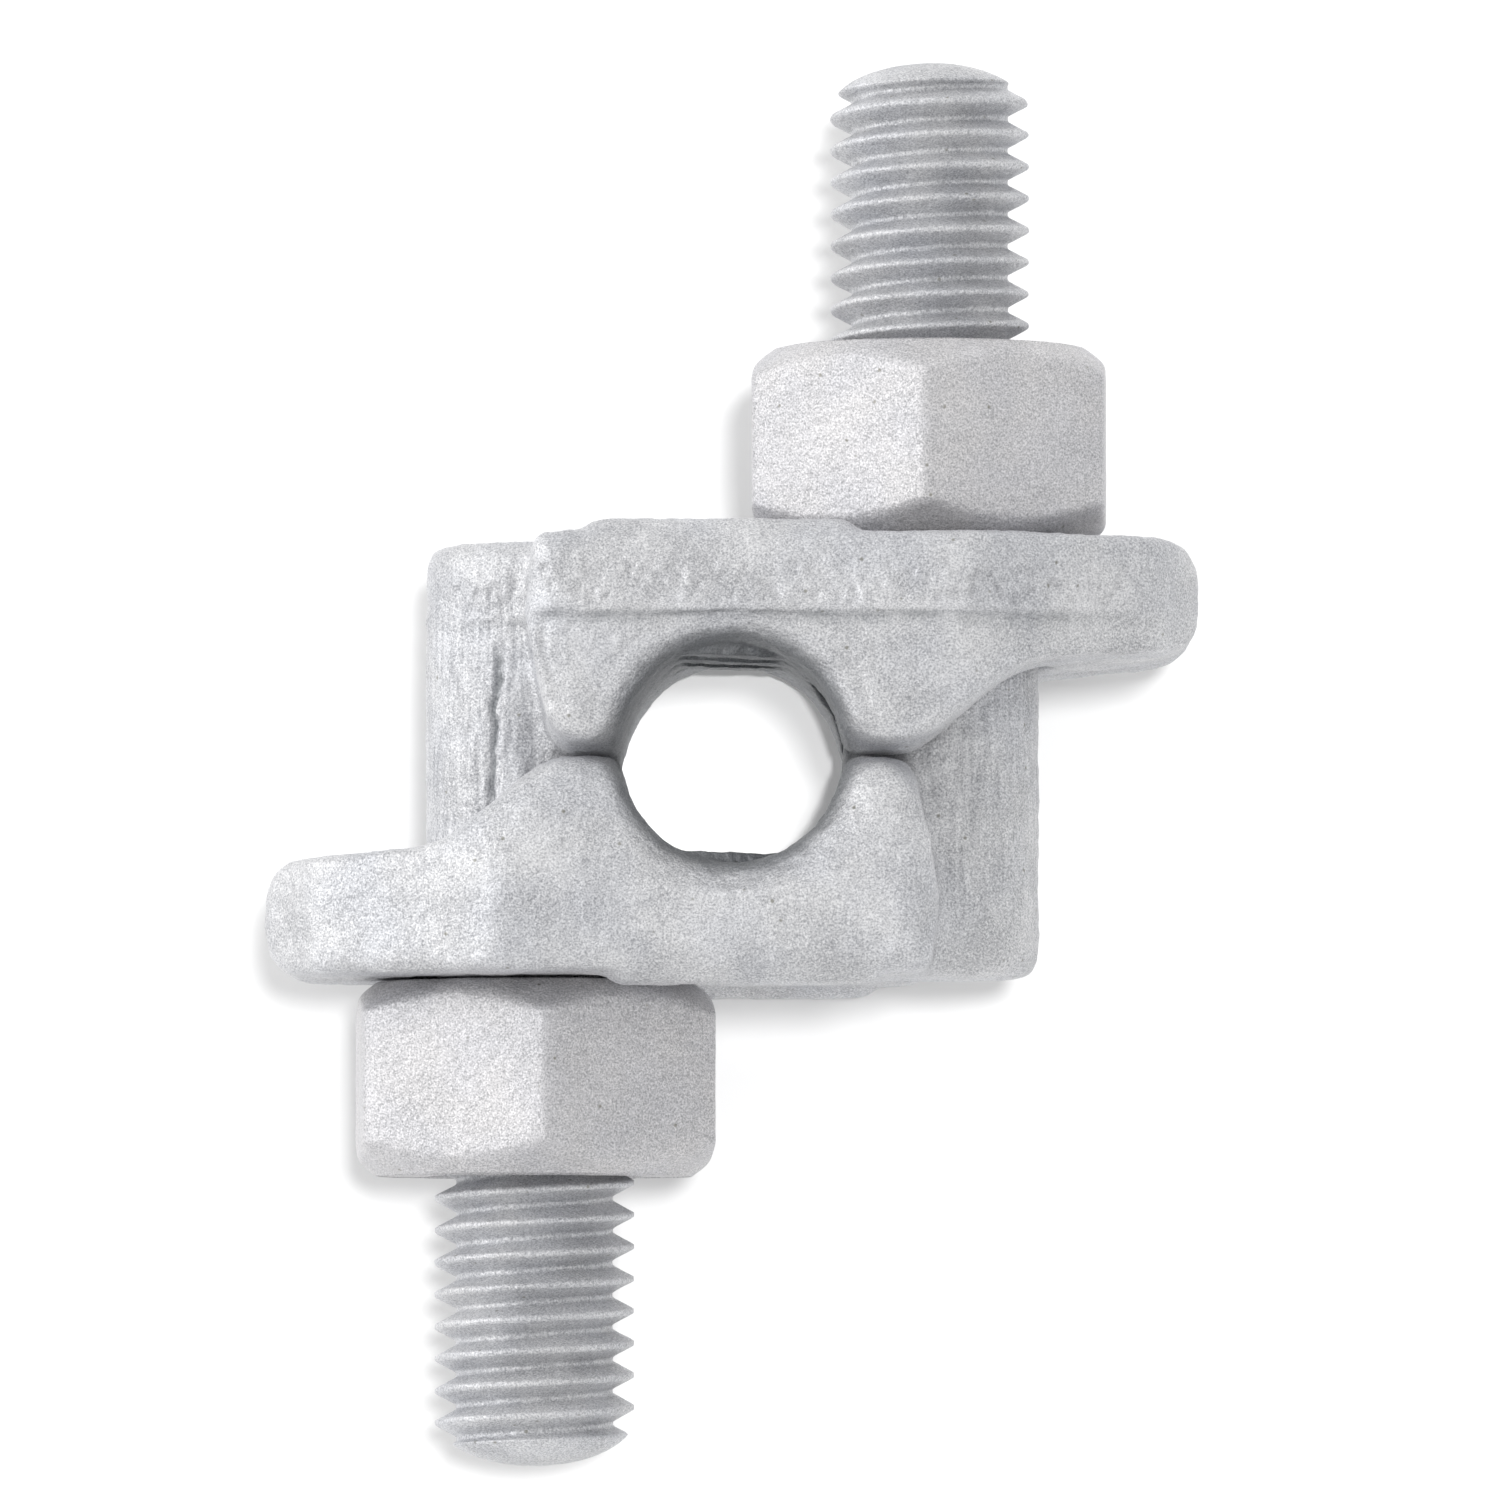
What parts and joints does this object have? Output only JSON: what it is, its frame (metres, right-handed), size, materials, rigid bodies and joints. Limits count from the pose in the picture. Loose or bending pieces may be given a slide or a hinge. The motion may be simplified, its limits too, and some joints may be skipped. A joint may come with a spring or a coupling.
{
  "type": "double-saddle wire rope clip",
  "caption": "Two identical forged saddle halves, each with its own threaded stud and a holed ear, that clamp a wire rope between them with a heavy hex nut on each stud.",
  "frame": {"origin": "middle of the rope channel, halfway along it, in the plane where the two halves meet", "axes": "+Z along the rope, +Y along the studs towards the upper half, +X from the upper half's plain end to its ear; the clip lies on its side"},
  "size_m": [0.0462, 0.0696, 0.027],
  "materials": {
    "forged_zinc": "drop-forged steel, hot-dip galvanised, matte light grey with fine grain",
    "nut_zinc": "hot-dip galvanised heavy hex nut, matte light grey with fine grain"
  },
  "bodies": {
    "lower_half": {"lower_saddle": "forged_zinc"},
    "upper_half": {"upper_saddle": "forged_zinc"},
    "upper_nut": {"upper_nut": "nut_zinc"},
    "lower_nut": {"lower_nut": "nut_zinc"}
  },
  "joints": [
    {"name": "clamp_travel", "type": "slide", "parent": "lower_half", "child": "upper_half", "axis": [0, 1, 0], "range_m": [0, 0.012]},
    {"name": "upper_nut_spin", "type": "hinge", "parent": "upper_half", "child": "upper_nut", "pos_m": [0.0098, 0.0155, 0], "axis": [0, 1, 0], "range_deg": [0, 2722]},
    {"name": "lower_nut_spin", "type": "hinge", "parent": "lower_half", "child": "lower_nut", "pos_m": [-0.0098, -0.0155, 0], "axis": [0, -1, 0], "range_deg": [0, 2722]}
  ],
  "couplings": [
    {"joint": "upper_nut_spin", "follows": "clamp_travel", "rad_per_m": 3957.9},
    {"joint": "lower_nut_spin", "follows": "clamp_travel", "rad_per_m": 3957.9}
  ]
}
